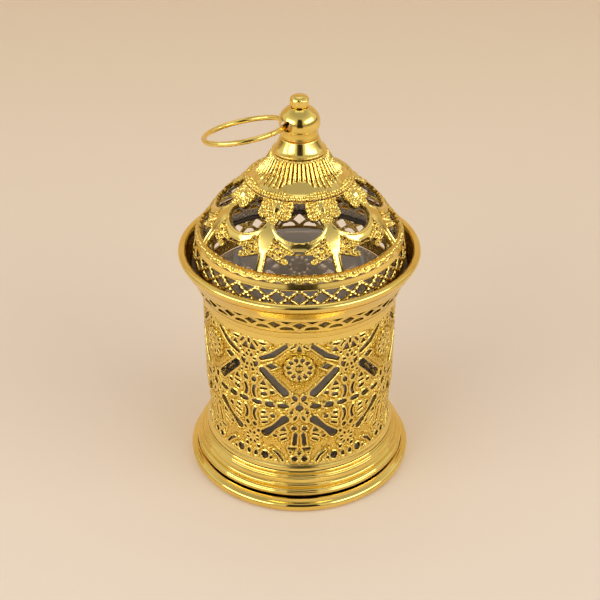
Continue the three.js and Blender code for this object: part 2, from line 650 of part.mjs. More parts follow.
// Stud, washer and nut under the crown
const washerTop = CROWN_TOP - SHEET - FIT_GAP;
const nutTop = washerTop - WASHER_THICKNESS - FIT_GAP;
const studBottom = nutTop - NUT_HEIGHT - STUD_END;
addPiece("finial_stud", turned([
  [0, studBottom], [STUD_RADIUS, studBottom], [STUD_RADIUS, STUD_TOP], [0, STUD_TOP],
], 12), DARK_STEEL);

addPiece("finial_washer", turned([
  [boreRadius, washerTop - WASHER_THICKNESS], [WASHER_RADIUS, washerTop - WASHER_THICKNESS],
  [WASHER_RADIUS, washerTop], [boreRadius, washerTop],
], 16), DARK_STEEL);

addPiece("finial_nut", turned([
  [boreRadius, nutTop - NUT_HEIGHT], [NUT_RADIUS, nutTop - NUT_HEIGHT],
  [NUT_RADIUS, nutTop], [boreRadius, nutTop],
], 6), DARK_STEEL);

// Carry ring: round wire through the ball, butted ends, drooping to the left at rest
function ringGeometry() {
  const gapAngle = RING_JOINT_GAP / RING_RADIUS;
  const path = new THREE.ArcCurve(0, 0, RING_RADIUS, RING_JOINT_ANGLE + gapAngle / 2,
    RING_JOINT_ANGLE + 2 * Math.PI - gapAngle / 2);
  const spine = new THREE.CatmullRomCurve3(
    path.getPoints(72).map((point) => new THREE.Vector3(point.x, point.y, 0)),
  );
  const wire = new THREE.Shape();
  wire.absarc(0, 0, WIRE_RADIUS, 0, 2 * Math.PI);
  return new THREE.ExtrudeGeometry(wire, { steps: 36, extrudePath: spine, curveSegments: 4 });
}

const sagitta = RING_RADIUS - Math.sqrt(RING_RADIUS ** 2 - (BALL_RADIUS ** 2 - RING_BORE_X ** 2));
const swing = new THREE.Group();
swing.position.set(RING_BORE_X, 0, RING_BORE_LEVEL);
swing.rotation.set(-RING_TILT, 0, 0);
lantern.add(swing);
const droop = new THREE.Group();
droop.rotation.set(0, -RING_DROOP, 0);
swing.add(droop);
const ring = addPiece("carry_ring", ringGeometry(), GOLD);
ring.position.set(sagitta / 2 - RING_RADIUS, 0, 0);
droop.add(ring);

export default lantern;
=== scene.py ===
"""Cutwork metal lantern: the finished surfaces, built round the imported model.

The lantern's sizes are in millimetres and turn into metres where a mesh is made; the stage's
are in metres. An angle round the lantern starts at the front, which faces -Y, and grows
towards +X.
"""

import math

import bpy
import numpy as np
from mathutils import Matrix, Vector


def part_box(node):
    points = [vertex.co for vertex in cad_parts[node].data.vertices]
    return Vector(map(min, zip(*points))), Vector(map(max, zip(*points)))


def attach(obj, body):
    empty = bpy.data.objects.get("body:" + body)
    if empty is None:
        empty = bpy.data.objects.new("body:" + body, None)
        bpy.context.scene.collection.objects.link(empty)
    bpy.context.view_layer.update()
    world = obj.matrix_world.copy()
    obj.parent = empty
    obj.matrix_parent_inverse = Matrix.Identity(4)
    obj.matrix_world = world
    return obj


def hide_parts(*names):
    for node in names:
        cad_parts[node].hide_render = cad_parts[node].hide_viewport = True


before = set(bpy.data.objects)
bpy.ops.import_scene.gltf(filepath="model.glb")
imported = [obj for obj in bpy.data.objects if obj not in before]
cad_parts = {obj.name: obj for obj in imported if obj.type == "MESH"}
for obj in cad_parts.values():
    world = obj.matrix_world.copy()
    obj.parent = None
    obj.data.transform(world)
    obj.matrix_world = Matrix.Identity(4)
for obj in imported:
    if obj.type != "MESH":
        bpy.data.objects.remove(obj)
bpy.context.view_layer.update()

MM = 0.001
TURN = 2 * math.pi

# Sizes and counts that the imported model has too
DRUM_RADIUS = 38.3
SHEET = 1.2
DRUM_FIELDS = 6
DOME_BAYS = 8
SKIRT_DIAMONDS = 32
GALLERY_BEADS = 48
STUD_BORE = 2.3
BALL_CENTRE = 149.6
BALL_RADIUS = 7.8
BALL_HALF_HEIGHT = 0.87 * BALL_RADIUS
KNOB_RADIUS = 3.65
RING_RADIUS = 15.7
WIRE_RADIUS = 1.0
RING_DROOP = math.radians(10.8)
RING_TILT = math.radians(9)
RING_BORE = Vector((-5.15, 0, BALL_CENTRE - 0.7))
RING_BORE_RADIUS = 1.85
RING_BORE_LAND = 3.6
RING_MOUTH_RADIUS = 2.7

# Counts and radii of the finished surfaces alone
NECK_DIAMONDS = 28
CROWN_SLOTS = 48
NECK_RADIUS = 41
SKIRT_RADIUS = 41.3
GALLERY_RADIUS = 40.2

# Places in a field of the drum, from its middle line and from the floor
MEDALLION_LEVEL = 64.9
UPPER_ARM = ((14.2, 62.6), (5.7, 53.4), 1.6, 1.75)


def levels(node):
    """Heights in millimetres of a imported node's lowest and highest point."""
    low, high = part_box(node)
    return low.z / MM, high.z / MM


# Mesh making


def add_object(name, data):
    """A new object in the scene, from a mesh, a lamp or a camera."""
    item = bpy.data.objects.new(name, data)
    bpy.context.scene.collection.objects.link(item)
    return item


def add_piece(name, points, face_groups, material, sharp_angle=40, painted_shade=None):
    """A mesh object from points in millimetres and groups of faces with equal corner counts."""
    groups = [np.asarray(group) for group in face_groups if len(group)]
    corners = np.concatenate([group.ravel() for group in groups])
    sizes = np.concatenate([np.full(len(group), group.shape[1]) for group in groups])
    starts = np.concatenate([[0], np.cumsum(sizes)[:-1]])
    mesh = bpy.data.meshes.new(name)
    mesh.vertices.add(len(points))
    mesh.vertices.foreach_set("co", (np.asarray(points, float) * MM).ravel())
    mesh.loops.add(len(corners))
    mesh.loops.foreach_set("vertex_index", corners.astype(np.int32))
    mesh.polygons.add(len(sizes))
    mesh.polygons.foreach_set("loop_start", starts.astype(np.int32))
    mesh.update(calc_edges=True)
    mesh.validate()
    mesh.polygons.foreach_set("use_smooth", np.ones(len(mesh.polygons), bool))
    mesh.set_sharp_from_angle(angle=math.radians(sharp_angle))
    # The layer of painted shade, which the cut gold material turns into darker colour
    if painted_shade is not None:
        layer = mesh.attributes.new("painted_shade", "FLOAT", "POINT")
        layer.data.foreach_set("value", np.asarray(painted_shade, np.float32))
    mesh.materials.append(material)
    return add_object(name, mesh)


def stands_for(piece, node, body):
    """The piece takes the node's place and rides on its body."""
    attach(piece, body)
    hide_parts(node)


def around(angle, radius, height):
    """Points on circles about the axis."""
    return np.stack([radius * np.sin(angle), -radius * np.cos(angle), height], -1)


def softened(profile, radius, steps=3):
    """The profile with each corner rounded off, as far as its two sides allow."""
    corners = [np.array(point, float) for point in profile]
    result = [corners[0]]
    for before, here, after in zip(corners, corners[1:], corners[2:]):
        back, ahead = before - here, after - here
        reach_back = min(radius, 0.45 * np.linalg.norm(back))
        reach_ahead = min(radius, 0.45 * np.linalg.norm(ahead))
        start = here + back / np.linalg.norm(back) * reach_back
        end = here + ahead / np.linalg.norm(ahead) * reach_ahead
        for share in np.linspace(0, 1, steps + 1):
            result.append((1 - share) ** 2 * start + 2 * share * (1 - share) * here + share**2 * end)
    result.append(corners[-1])
    return result


def bulge(low, high, depth, steps=8):
    """A rounded moulding between two profile points, standing out to the right of their line."""
    low, high = np.array(low, float), np.array(high, float)
    along = high - low
    out = np.array([along[1], -along[0]]) / np.linalg.norm(along)
    shares = np.linspace(0, 1, steps + 1)
    return [low + along * (0.5 - 0.5 * math.cos(math.pi * s)) + out * depth * math.sin(math.pi * s)
            for s in shares]


def turned(name, profile, material, segments=192, sharp_angle=35, wave=None):
    """A solid of revolution from a loop of (radius, height) points; wave shifts the radius."""
    loop = np.array(profile, float)
    if np.allclose(loop[0], loop[-1]):
        loop = loop[:-1]
    count = len(loop)
    angles = TURN * np.arange(segments) / segments
    radius = np.repeat(loop[None, :, 0], segments, 0)
    height = np.repeat(loop[None, :, 1], segments, 0)
    turn = np.repeat(angles[:, None], count, 1)
    if wave is not None:
        radius = radius + wave(turn, radius, height)
    points = around(turn, radius, height).reshape(-1, 3)
    column = np.arange(segments)[:, None] * count
    next_column = np.roll(column, -1, 0)
    row = np.arange(count)[None, :]
    next_row = (row + 1) % count
    quads = np.stack([column + row, next_column + row, next_column + next_row, column + next_row], -1)
    on_axis = np.abs(radius[0]) < 1e-6
    keep = ~(on_axis[row[0]] & on_axis[next_row[0]])
    quads = quads[:, keep].reshape(-1, 4)
    poles = np.arange(count)[on_axis]
    single = np.arange(len(points))
    for pole in poles:
        single[pole::count] = pole
    quads = single[quads]
    lower_pole = quads[:, 0] == quads[:, 1]
    upper_pole = quads[:, 2] == quads[:, 3]
    plain = quads[~lower_pole & ~upper_pole]
    triangles = np.concatenate([quads[lower_pole][:, [0, 2, 3]], quads[upper_pole][:, [0, 1, 2]]])
    used, packed = np.unique(np.concatenate([plain.ravel(), triangles.ravel()]), return_inverse=True)
    plain = packed[: plain.size].reshape(-1, 4)
    triangles = packed[packed.size - triangles.size:].reshape(-1, 3)
    return add_piece(name, points[used], [plain, triangles], material, sharp_angle)


# Marching squares: corners 0 to 3 of a cell, and crossings 4 to 7 on its low, right, high and left sides
CELL_CASES = {
    1: [[0, 4, 7]], 2: [[1, 5, 4]], 3: [[0, 1, 5, 7]], 4: [[2, 6, 5]], 5: [[0, 4, 7], [2, 6, 5]],
    6: [[1, 2, 6, 4]], 7: [[0, 1, 2, 6, 7]], 8: [[3, 7, 6]], 9: [[0, 4, 6, 3]],
    10: [[1, 5, 4], [3, 7, 6]], 11: [[0, 1, 5, 6, 3]], 12: [[2, 3, 7, 5]], 13: [[0, 4, 5, 2, 3]],
    14: [[1, 2, 3, 7, 4]], 15: [[0, 1, 2, 3]],
}


def pierced_shell(name, skin, columns, rows, metal, relief, material, sheet=SHEET, painted_shade=None):
    """A sheet bent round the axis with holes through it.

    skin gives radius, height and outward direction for a share of the way up. metal gives the
    distance in millimetres from the nearest hole's edge, negative inside a hole. relief gives how
    far the outer face stands out. The last, optional function gives the depth of painted shade that the
    material reads.
    """
    share = np.linspace(0, 1, rows + 1)
    angle, up = np.meshgrid(TURN * np.arange(columns) / columns, share, indexing="ij")
    distance = metal(angle, up)
    solid = distance > 0
    beside = np.roll(distance, -1, 0)
    cross_round = solid != (beside > 0)
    cross_up = solid[:, :-1] != solid[:, 1:]
    part_round = np.clip(distance / np.where(cross_round, distance - beside, 1), 0.03, 0.97)
    step_up = distance[:, :-1] - distance[:, 1:]
    part_up = np.clip(distance[:, :-1] / np.where(cross_up, step_up, 1), 0.03, 0.97)
    step_angle = TURN / columns
    angles = np.concatenate([
        angle[solid],
        (angle + step_angle * part_round)[cross_round],
        angle[:, :-1][cross_up],
    ])
    ups = np.concatenate([
        up[solid],
        up[cross_round],
        (up[:, :-1] + part_up / rows)[cross_up],
    ])
    corner_id = np.cumsum(solid.ravel()).reshape(solid.shape) - 1
    round_id = np.cumsum(cross_round.ravel()).reshape(solid.shape) - 1 + solid.sum()
    up_id = np.cumsum(cross_up.ravel()).reshape(cross_up.shape) - 1 + solid.sum() + cross_round.sum()
    right = np.roll(np.arange(columns), -1)
    tokens = [
        corner_id[:, :-1], corner_id[right, :-1], corner_id[right, 1:], corner_id[:, 1:],
        round_id[:, :-1], up_id[right], round_id[:, 1:], up_id,
    ]
    inside = [solid[:, :-1], solid[right, :-1], solid[right, 1:], solid[:, 1:]]
    case = sum(flag.astype(int) << place for place, flag in enumerate(inside))
    count = len(angles)
    faces = {3: [], 4: [], 5: []}
    for number, polygons in CELL_CASES.items():
        here = case == number
        if not here.any():
            continue
        for polygon in polygons:
            outer = np.stack([tokens[token][here] for token in polygon], -1)
            faces[len(polygon)].append(outer)
            faces[len(polygon)].append(outer[:, ::-1] + count)
            for first, second in zip(polygon, polygon[1:] + polygon[:1]):
                if first > 3 and second > 3:
                    a, b = tokens[first][here], tokens[second][here]
                    faces[4].append(np.stack([b, a, a + count, b + count], -1))
    for first, second, row in ((0, 1, 0), (2, 3, -1)):
        edge = inside[first][:, row] & inside[second][:, row]
        a, b = tokens[first][:, row][edge], tokens[second][:, row][edge]
        faces[4].append(np.stack([b, a, a + count, b + count], -1))
    radius, height, out_radius, out_height = skin(ups)
    edge_distance = metal(angles, ups)
    edge_distance[solid.sum():] = 0
    lift = relief(angles, ups, edge_distance)
    outer = around(angles, radius + out_radius * lift, height + out_height * lift)
    inner = around(angles, radius - out_radius * sheet, height - out_height * sheet)
    # Painted shade per point; the inner face gets -1, which the material reads as its inside tone
    shade = np.zeros(2 * count)
    shade[count:] = -1
    if painted_shade is not None:
        shade[:count] = painted_shade(angles, ups, edge_distance)
    groups = [np.concatenate(group) for group in faces.values() if group]
    return add_piece(name, np.concatenate([outer, inner]), groups, material, 50, shade)


def profile_skin(profile):
    """A skin that follows a smooth line through (radius, height) points, by share of its length."""
    points = np.array(profile, float)
    knots = np.concatenate([[0], np.cumsum(np.linalg.norm(np.diff(points, axis=0), axis=1))])
    slopes = np.gradient(points, knots, axis=0)
    dense = []
    for k in range(len(points) - 1):
        gap = knots[k + 1] - knots[k]
        for s in np.linspace(0, 1, 12, endpoint=False):
            dense.append((2 * s**3 - 3 * s**2 + 1) * points[k] + (s**3 - 2 * s**2 + s) * gap * slopes[k]
                         + (3 * s**2 - 2 * s**3) * points[k + 1] + (s**3 - s**2) * gap * slopes[k + 1])
    dense = np.array([*dense, points[-1]])
    lengths = np.concatenate([[0], np.cumsum(np.linalg.norm(np.diff(dense, axis=0), axis=1))])
    tangent = np.gradient(dense, lengths, axis=0)
    tangent /= np.linalg.norm(tangent, axis=1)[:, None]

    def skin(share):
        curves = (dense[:, 0], dense[:, 1], tangent[:, 1], -tangent[:, 0])
        return [np.interp(share * lengths[-1], lengths, curve) for curve in curves]

    skin.length = lengths[-1]
    return skin


# Distances to flat shapes, in millimetres, negative inside


def circle(x, y, cx, cy, radius):
    return np.hypot(x - cx, y - cy) - radius


def ellipse(x, y, cx, cy, half_x, half_y, turn=0.0):
    c, s = math.cos(math.radians(turn)), math.sin(math.radians(turn))
    along = ((x - cx) * c + (y - cy) * s) / half_x
    across = (-(x - cx) * s + (y - cy) * c) / half_y
    return (np.hypot(along, across) - 1) * min(half_x, half_y)


def bar(x, y, start, end, half_width, end_half_width=None):
    """A rounded bar, tapering if it has another half width at its end."""
    ax, ay = end[0] - start[0], end[1] - start[1]
    share = np.clip(((x - start[0]) * ax + (y - start[1]) * ay) / (ax * ax + ay * ay), 0, 1)
    wide = half_width if end_half_width is None else half_width + (end_half_width - half_width) * share
    return np.hypot(x - start[0] - ax * share, y - start[1] - ay * share) - wide


def arc_bar(x, y, centre, radius, start, end, half_width):
    """A bar bent along a circle, from one angle in degrees to a larger one."""
    angle = np.degrees(np.arctan2(y - centre[1], x - centre[0])) % 360
    middle = (start + end) / 2
    off = (angle - middle + 180) % 360 - 180
    held = np.radians(np.clip(off, start - middle, end - middle) + middle)
    return np.hypot(x - centre[0] - radius * np.cos(held), y - centre[1] - radius * np.sin(held)) - half_width


def diamond(x, y, cx, cy, half_x, half_y):
    slant = math.hypot(half_x, half_y)
    return (np.abs(x - cx) * half_y + np.abs(y - cy) * half_x - half_x * half_y) / slant


def triangle(x, y, a, b, c, rounding):
    """A rounded triangle whose corners run counter-clockwise."""
    sides = []
    for (ax, ay), (bx, by) in ((a, b), (b, c), (c, a)):
        length = math.hypot(bx - ax, by - ay)
        sides.append(((x - ax) * (by - ay) - (y - ay) * (bx - ax)) / length)
    return np.maximum.reduce(sides) - rounding


def nearest(*distances):
    return np.minimum.reduce(distances)


def folded(angle, repeats):
    """Angle from the nearest of the evenly spaced middle lines, always positive."""
    pitch = TURN / repeats
    return np.abs((angle + pitch / 2) % pitch - pitch / 2)


def bump_ring(distance, middle, width):
    """Height from 0 to 1 of a soft ridge."""
    return np.exp(-(((distance - middle) / width) ** 2))


def round_top(distance, radius):
    """Height from 0 to 1 of a half-round cord or bead, by distance from its middle."""
    return np.sqrt(np.clip(1 - (distance / radius) ** 2, 0, 1))


def scattered_beads(x, y, cell, seed):
    """Height from 0 to 1 of round beads, one for each jittered cell of a square grid."""
    best = np.full(x.shape, 9.0)
    column, row = np.floor(x / cell), np.floor(y / cell)
    for step_x in (-1, 0, 1):
        for step_y in (-1, 0, 1):
            i, j = column + step_x, row + step_y
            wobble = np.sin(i * 127.1 + j * 311.7 + seed) * 43758.5453
            other = np.sin(i * 269.5 + j * 183.3 + seed) * 24634.6345
            cx = (i + 0.5 + 0.3 * (wobble - np.floor(wobble) - 0.5)) * cell
            cy = (j + 0.5 + 0.3 * (other - np.floor(other) - 0.5)) * cell
            best = np.minimum(best, np.hypot(x - cx, y - cy))
    return round_top(best, 0.52 * cell)


def speckle(x, y):
    """Even scatter of values from 0 to 1, new at each point."""
    value = np.sin(x * 91.7 + y * 47.3) * 43758.5453
    return value - np.floor(value)


# Materials

LIGHT_GOLD = (0.94, 0.71, 0.20)
DEEP_GOLD = (0.86, 0.62, 0.14)
# Painted shade: the orange gold of the chased ground, the brown of the deepest lines and the dim gold of the
# hole walls
SHADED_ORANGE_GOLD = (0.78, 0.48, 0.04)
RECESS_SHADE_BROWN = (0.22, 0.12, 0.015)
SHADED_CUT_EDGE = (0.44, 0.29, 0.05)
INNER_GREY = (0.93, 0.90, 0.87)
INNER_BROWN = (0.42, 0.27, 0.07)


def node_material(name, metallic=0):
    material = bpy.data.materials.new(name)
    material.use_nodes = True
    nodes = material.node_tree.nodes
    nodes["Principled BSDF"].inputs["Metallic"].default_value = metallic
    return material, nodes, material.node_tree.links, nodes["Principled BSDF"]


def add_bump(nodes, links, shader, scale, strength, distance):
    """Unevenness from a noise, which is handed back for other uses."""
    place = nodes.new("ShaderNodeTexCoord")
    grain = nodes.new("ShaderNodeTexNoise")
    grain.inputs["Scale"].default_value = scale
    grain.inputs["Detail"].default_value = 3
    bump = nodes.new("ShaderNodeBump")
    bump.inputs["Strength"].default_value = strength
    bump.inputs["Distance"].default_value = distance
    links.new(place.outputs["Object"], grain.inputs["Vector"])
    links.new(grain.outputs["Fac"], bump.inputs["Height"])
    links.new(bump.outputs["Normal"], shader.inputs["Normal"])
    return grain


def ramp(nodes, links, source, stops, socket):
    """A colour ramp through two or more (place, colour) stops, from a value to a socket."""
    node = nodes.new("ShaderNodeValToRGB")
    elements = node.color_ramp.elements
    while len(elements) < len(stops):
        elements.new(0.5)
    for element, (place, colour) in zip(elements, stops):
        element.position = place
        element.color = (*colour, 1)
    links.new(source, node.inputs["Fac"])
    links.new(node.outputs["Color"], socket)


def drift_gloss(nodes, links, grain, shader, low_rough, high_rough):
    """Roughness that follows the grain."""
    spread = nodes.new("ShaderNodeMapRange")
    spread.inputs["To Min"].default_value = low_rough
    spread.inputs["To Max"].default_value = high_rough
    links.new(grain.outputs["Fac"], spread.inputs["Value"])
    links.new(spread.outputs["Result"], shader.inputs["Roughness"])


def grained(name, metallic, stops, scale, strength, distance):
    """A new material whose tone follows a noise, and that noise."""
    material, nodes, links, shader = node_material(name, metallic)
    grain = add_bump(nodes, links, shader, scale, strength, distance)
    ramp(nodes, links, grain.outputs["Fac"], stops, shader.inputs["Base Color"])
    return material, nodes, links, shader, grain


def gold(name, low_rough, high_rough, scale, strength):
    """Plated gold whose tone and gloss drift a little over the surface."""
    stops = [(0.35, DEEP_GOLD), (0.6, LIGHT_GOLD)]
    material, nodes, links, shader, grain = grained(name, 1, stops, scale, strength, 0.0003)
    drift_gloss(nodes, links, grain, shader, low_rough, high_rough)
    return material


def cut_gold(name, inner, low_rough, high_rough):
    """Plated gold on pierced sheet, stippled, with painted shade that darkens the hole walls, the sunk
    ground and the lines, and another tone inside.

    The mesh's layer of painted shade is -1 on the inner face, 0 on raised metal and up to 2 in deep lines.
    """
    material, nodes, links, shader = node_material(name, metallic=1)
    grain = add_bump(nodes, links, shader, 700, 0.05, 0.0001)
    layer = nodes.new("ShaderNodeAttribute")
    layer.attribute_name = "painted_shade"
    depth = nodes.new("ShaderNodeMapRange")
    depth.inputs["From Min"].default_value = -1
    depth.inputs["From Max"].default_value = 2
    links.new(layer.outputs["Fac"], depth.inputs["Value"])
    # Inner tone, painted shade on the hole walls, raised metal, then deeper painted shade in the ground and
    # lines
    stops = [(0.0, inner), (0.02, inner), (0.06, SHADED_CUT_EDGE), (0.28, SHADED_CUT_EDGE), (0.33, LIGHT_GOLD),
             (0.42, LIGHT_GOLD), (0.7, SHADED_ORANGE_GOLD), (1.0, RECESS_SHADE_BROWN)]
    ramp(nodes, links, depth.outputs["Result"], stops, shader.inputs["Base Color"])
    stipple = nodes.new("ShaderNodeTexVoronoi")
    stipple.inputs["Scale"].default_value = 1300
    place = nodes.new("ShaderNodeTexCoord")
    links.new(place.outputs["Object"], stipple.inputs["Vector"])
    pitted = nodes.new("ShaderNodeMath")
    pitted.operation = "MULTIPLY"
    links.new(stipple.outputs["Distance"], pitted.inputs[0])
    links.new(layer.outputs["Fac"], pitted.inputs[1])
    bump = nodes.new("ShaderNodeBump")
    bump.inputs["Strength"].default_value = 0.7
    bump.inputs["Distance"].default_value = 0.0003
    links.new(pitted.outputs["Value"], bump.inputs["Height"])
    links.new(shader.inputs["Normal"].links[0].from_socket, bump.inputs["Normal"])
    links.new(bump.outputs["Normal"], shader.inputs["Normal"])
    drift_gloss(nodes, links, grain, shader, low_rough, high_rough)
    return material


def inner_steel(name, dark, pale):
    """Dull metal that shows only through the cut-outs."""
    material, _, _, shader, _ = grained(name, 1, [(0.3, dark), (0.7, pale)], 220, 0.2, 0.0002)
    shader.inputs["Roughness"].default_value = 0.5
    return material


def clear_glass():
    material, nodes, links, shader = node_material("clear_glass")
    shader.inputs["Base Color"].default_value = (0.93, 0.88, 0.82, 1)
    shader.inputs["Transmission Weight"].default_value = 0.66
    shader.inputs["IOR"].default_value = 1.45
    shader.inputs["Roughness"].default_value = 0.03
    add_bump(nodes, links, shader, 30, 0.05, 0.0005)
    return material


polished = gold("polished_gold", 0.10, 0.20, 60, 0.05)
bright_gold = gold("bright_gold", 0.04, 0.1, 60, 0.04)
soft_gold = gold("soft_gold", 0.22, 0.34, 90, 0.12)
chased = cut_gold("satin_gold", INNER_GREY, 0.17, 0.28)
bright_cut = cut_gold("bright_cut_gold", INNER_GREY, 0.1, 0.18)
neck_gold = cut_gold("neck_gold", INNER_BROWN, 0.12, 0.2)
steel = inner_steel("inner_steel", (0.66, 0.62, 0.57), (0.78, 0.73, 0.68))
# Near-black steel for the lid's ledge, painted shade for the dark gap between the rim and the lid skirt
shade_dark_steel = inner_steel("shade_dark_steel", (0.10, 0.08, 0.06), (0.16, 0.13, 0.10))
glass = clear_glass()


# Base tray and foot


def base_tray():
    profile = [
        (0, 0), (44.6, 0), *bulge((44.9, 0.1), (45.0, 4.0), 1.5, 10), (44.5, 4.3), (44.3, 5.4),
        (43.9, 5.5), (43.4, 5.2), (42.5, 4.4), (42.4, 1.6), (0, 1.6),
    ]
    piece = turned("base_tray_gold", profile, bright_gold)
    stands_for(piece, "base_tray", "base")


def foot_moulding():
    low = levels("foot_moulding")[0]
    profile = [
        (41.9, low), (41.9, 5.7), *bulge((42.2, 5.9), (42.2, 9.3), 1.6, 24),
        *bulge((41.8, 9.5), (41.6, 11.0), 0.55, 6), (41.3, 11.2), (41.4, 11.6), (41.0, 12.7), (40.5, 12.9),
        *bulge((40.3, 13.1), (39.9, 14.4), 0.5, 6), *bulge((39.4, 14.6), (39.1, 15.4), 0.35, 5),
        (36.6, 15.4), (36.6, 14.0), (40.1, 9.8), (40.1, low),
    ]

    def fine_groove_shade(turn, radius, height):
        lines = bump_ring(height, 7.2, 0.16) + bump_ring(height, 8.3, 0.16)
        return -0.16 * lines * (radius > 42)

    piece = turned("foot_moulding_gold", profile, bright_gold, wave=fine_groove_shade)
    stands_for(piece, "foot_moulding", "base")


def candle_plate():
    low, top = levels("candle_plate")[0], 9.6
    edge, edge_inside = 39.4, 38.3
    socket, socket_inside, socket_top = 26.0, 24.8, top + 2.4
    profile = softened([
        (edge_inside, low), (edge, low), (edge, top), (socket, top), (socket, socket_top),
        (socket_inside, socket_top), (socket_inside, top), (0, top), (0, top - SHEET),
        (edge_inside, top - SHEET), (edge_inside, low),
    ], 0.5)
    piece = turned("candle_plate_steel", profile, steel, 128)
    stands_for(piece, "candle_plate", "base")


# Drum


def drum_metal(x, y):
    """Distance from the cut-outs of one field; x runs along the wall from its middle line."""
    edge = math.pi * DRUM_RADIUS / DRUM_FIELDS
    holes = [
        # Arms, garland and bones
        (bar, *UPPER_ARM),
        (bar, (14.9, 68.1), (10.5, 70.3), 0.9, 1.15),
        (bar, (10.5, 70.3), (5.2, 75.0), 1.15, 0.9),
        (bar, (5.7, 40.7), (10.0, 36.3), 1.75, 1.0),
        (bar, (14.0, 32.1), (10.0, 36.3), 1.8, 1.0),
        (diamond, 10.7, 65.2, 2.4, 1.5),
        # Cross bar of the field
        (circle, 0, 46.5, 1.55),
        (ellipse, 6.3, 47.1, 2.35, 1.15),
        (ellipse, 17.1, 47.0, 2.2, 1.15),
        # Round the hub
        (ellipse, 1.75, 51.1, 0.95, 1.5, -22),
        (ellipse, 2.5, 48.9, 0.95, 0.42, -35),
        (circle, 3.1, 44.2, 0.72),
        (ellipse, 1.6, 41.6, 0.55, 1.3, 28),
        (circle, 2.05, 36.3, 1.15),
        (bar, (1.55, 33.2), (2.05, 27.8), 0.75, 0.85),
        # Upper leaf
        (triangle, (13.4, 56.0), (15.2, 56.1), (14.2, 57.6), 0.3),
        (bar, (13.0, 54.3), (15.3, 54.0), 0.5),
        (ellipse, 14.0, 51.5, 1.5, 0.9, -12),
        (ellipse, 10.6, 53.0, 1.0, 0.8),
        # Lower leaf
        (ellipse, 14.4, 42.6, 1.15, 0.7, -20),
        (bar, (13.0, 40.6), (15.3, 39.8), 0.45),
        (bar, (13.1, 38.2), (15.0, 37.2), 0.5),
        (circle, 10.6, 41.6, 0.95),
        # Leaf beside the stem
        (triangle, (5.5, 35.0), (7.3, 35.0), (6.2, 36.6), 0.3),
        (bar, (5.5, 33.3), (7.7, 32.2), 0.48),
        (bar, (5.4, 30.9), (7.3, 29.7), 0.55),
        (circle, 9.9, 31.6, 0.85),
        # Foot of the field
        (triangle, (8.2, 27.0), (14.8, 26.2), (11.3, 24.2), 0.55),
        (bar, (10.6, 23.4), (8.4, 21.9), 0.4, 0.55),
        (bar, (8.4, 21.9), (6.8, 19.6), 0.55, 0.4),
        (circle, 14.4, 20.9, 1.55),
        (bar, (1.6, 25.6), (4.3, 25.6), 0.55),
        (circle, 3.7, 23.6, 0.5),
        (ellipse, 0, 23.2, 0.95, 0.6),
        (ellipse, 2.0, 20.6, 1.35, 0.95),
        (circle, 17.4, 24.0, 0.8),
        (ellipse, 18.4, 20.7, 0.8, 1.1),
        (circle, 11.7, 20.2, 0.6),
        # Between the fields
        (ellipse, 17.2, 64.9, 0.75, 1.5, 25),
        (circle, edge - 1.5, 61.9, 0.65),
        (ellipse, edge - 1.8, 57.4, 0.95, 1.35, 15),
        (arc_bar, (edge - 6.6, 51.9), 5.1, -28, 28, 0.6),
        (arc_bar, (edge - 6.6, 40.8), 5.1, -32, 32, 0.5),
        (ellipse, edge - 1.6, 35.6, 0.85, 1.15),
        (ellipse, 17.0, 32.4, 0.55, 0.9, 30),
        (circle, 16.5, 60.4, 0.55),
        # Fan under the neck
        (ellipse, 14.2, 75.0, 1.5, 0.55),
        (triangle, (12.7, 71.9), (14.9, 71.7), (13.8, 73.4), 0.25),
        (triangle, (17.4, 71.6), (19.4, 71.5), (18.7, 73.6), 0.35),
        (bar, (17.7, 75.3), (16.3, 73.6), 0.4),
        (circle, 16.2, 70.6, 0.55),
        (bar, (edge, 75.6), (edge, 74.2), 0.5),
        (circle, edge, 70.2, 0.6),
        (bar, (1.7, 75.2), (3.2, 74.2), 0.35),
        (triangle, (-0.8, 73.3), (0.8, 73.3), (0, 75.2), 0.25),
    ]
    rosettes = [
        ((0, MEDALLION_LEVEL), 11, 4.15, 0.78, 0.95),
        ((edge, 66.2), 8, 2.5, 0.5, 0.85),
        ((edge, 28.1), 8, 2.5, 0.5, 0.85),
    ]
    for centre, count, ring, wide, tall in rosettes:
        for k in range(count):
            at = TURN * (k + 0.5) / count
            cx, cy = centre[0] + ring * math.sin(at), centre[1] + ring * math.cos(at)
            if -wide < cx < edge + wide:
                holes.append((ellipse, cx, cy, wide, tall, -math.degrees(at)))
    holes += [(arc_bar, (0, 65.6), 1.9, 225, 315, 0.3), (arc_bar, (0, 64.6), 1.9, 55, 125, 0.28)]
    bitten = np.maximum(ellipse(x, y, 11.5, 47.1, 2.2, 1.45), -circle(x, y, 9.6, 47.7, 0.75))
    return nearest(bitten, *[shape(x, y, *sizes) for shape, *sizes in holes])


